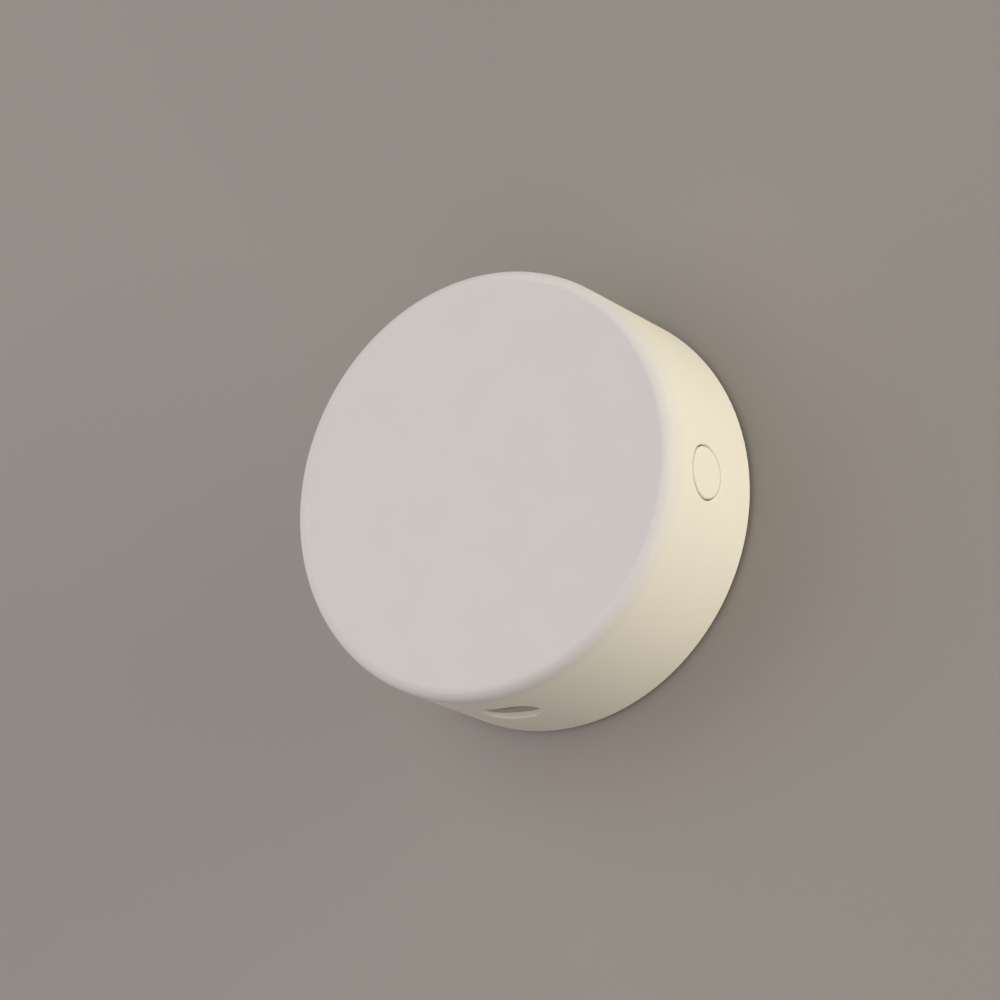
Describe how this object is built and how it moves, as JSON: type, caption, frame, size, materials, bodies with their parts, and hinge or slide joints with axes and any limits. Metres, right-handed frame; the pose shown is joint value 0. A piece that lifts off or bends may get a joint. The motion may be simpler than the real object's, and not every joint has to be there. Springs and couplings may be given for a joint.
{
  "type": "presence sensor",
  "caption": "Low round drum with a soft-edged flat face, a push button in its side wall, a recessed USB-C port and a flat padded back; a radar and its boards inside.",
  "frame": {"origin": "middle of the pad's rear face, on the drum's axis", "axes": "+Z out of the front face, +X towards the push button, -Y towards the USB-C port"},
  "size_m": [0.07, 0.07, 0.0259],
  "materials": {
    "shell": "fine satin moulding",
    "cover": "fine satin moulding",
    "pad": "matt silicone",
    "frame": "matt silicone",
    "screw": "zinc plated",
    "nylon": "natural nylon",
    "board": "solder mask",
    "radar_board": "solder mask",
    "chip": "moulded epoxy",
    "contact": "gold plated",
    "steel": "stamped sheet",
    "black_plastic": "moulded",
    "ceramic": "fired",
    "resistor": "coated",
    "clear": "clear acrylic",
    "led": "clear epoxy"
  },
  "bodies": {
    "drum": {"front_shell": "shell", "rear_cover": "cover", "rear_pad": "pad", "cover_screws": "screw", "switch_housing": "black_plastic", "switch_bracket": "steel", "switch_dome": "steel", "main_board": "board", "board_screws": "screw", "usb_shell": "steel", "usb_tongue": "black_plastic", "usb_contacts": "contact", "port_frame": "frame", "radar_board": "radar_board", "radar_spacers": "nylon", "radar_screws": "nylon", "radar_antennas": "contact", "radar_chip": "chip", "header_socket": "black_plastic", "header_body": "black_plastic", "header_pins": "contact", "controller_chip": "chip", "inductor": "chip", "regulator": "chip", "crystal": "steel", "capacitors": "ceramic", "resistors": "resistor", "radio_board": "radar_board", "radio_shield": "steel", "radio_chip": "chip", "radio_antenna": "contact", "status_led": "led", "light_guide": "clear", "light_sensor": "led"},
    "button": {"pair_button": "shell"},
    "plunger": {"switch_plunger": "nylon"}
  },
  "joints": [
    {"name": "button_press", "type": "slide", "parent": "drum", "child": "button", "axis": [-1, 0, 0], "range_m": [0, 0.00035], "stiffness_N_per_m": 2000, "springref_m": -0.0005},
    {"name": "plunger_press", "type": "slide", "parent": "drum", "child": "plunger", "axis": [-1, 0, 0], "range_m": [0, 0.0004]}
  ],
  "couplings": [
    {"joint": "plunger_press", "follows": "button_press", "ratio": 1}
  ]
}
